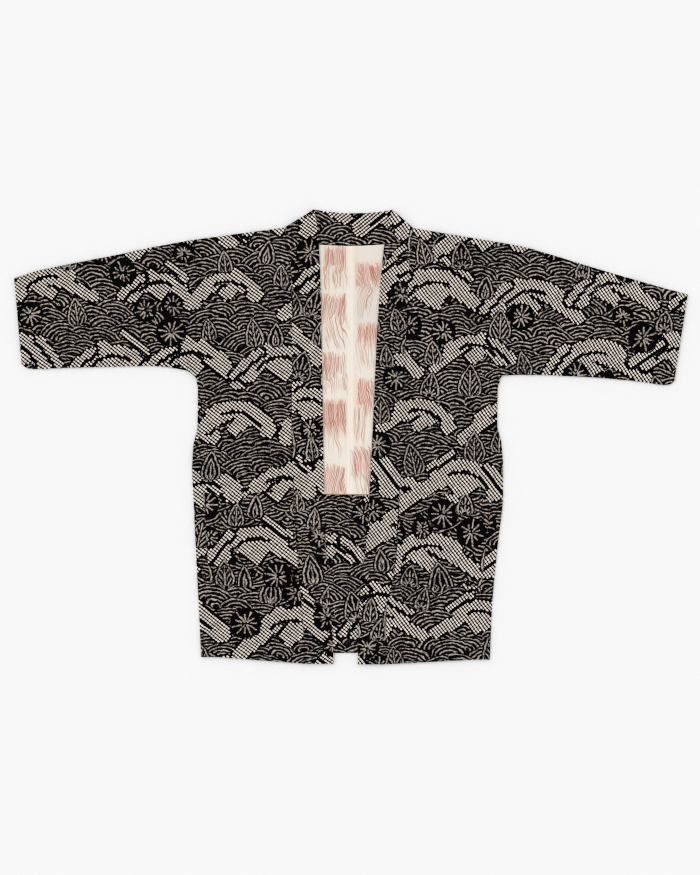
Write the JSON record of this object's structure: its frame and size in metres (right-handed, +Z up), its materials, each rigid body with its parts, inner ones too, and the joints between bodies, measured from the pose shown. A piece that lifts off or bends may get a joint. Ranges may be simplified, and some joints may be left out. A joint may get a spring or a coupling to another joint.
{
  "type": "haori jacket",
  "caption": "Open-fronted jacket laid flat, with straight sleeves, a doubled collar band round the neck and down both fronts, side gussets, patch pockets and a part lining.",
  "frame": {"origin": "bottom centre of the whole jacket's box, on the surface that it lies on", "axes": "+X along the sleeves to the right seen from above, +Y from the hem toward the collar, +Z up off the surface, out of the open front"},
  "size_m": [1.2802, 0.8641, 0.0076],
  "materials": {
    "outer_cloth": "matt silk crepe, tie-dyed in small dots and lines of cream and taupe on near-black",
    "lining": "smooth cream silk with brushed salmon blocks"
  },
  "bodies": {
    "root": {"body_left": "outer_cloth", "body_right": "outer_cloth", "sleeve_left": "outer_cloth", "sleeve_right": "outer_cloth", "gusset_left": "outer_cloth", "gusset_right": "outer_cloth", "collar": "outer_cloth", "pocket_left": "outer_cloth", "pocket_right": "outer_cloth", "lining_left": "lining", "lining_right": "lining"}
  },
  "joints": []
}
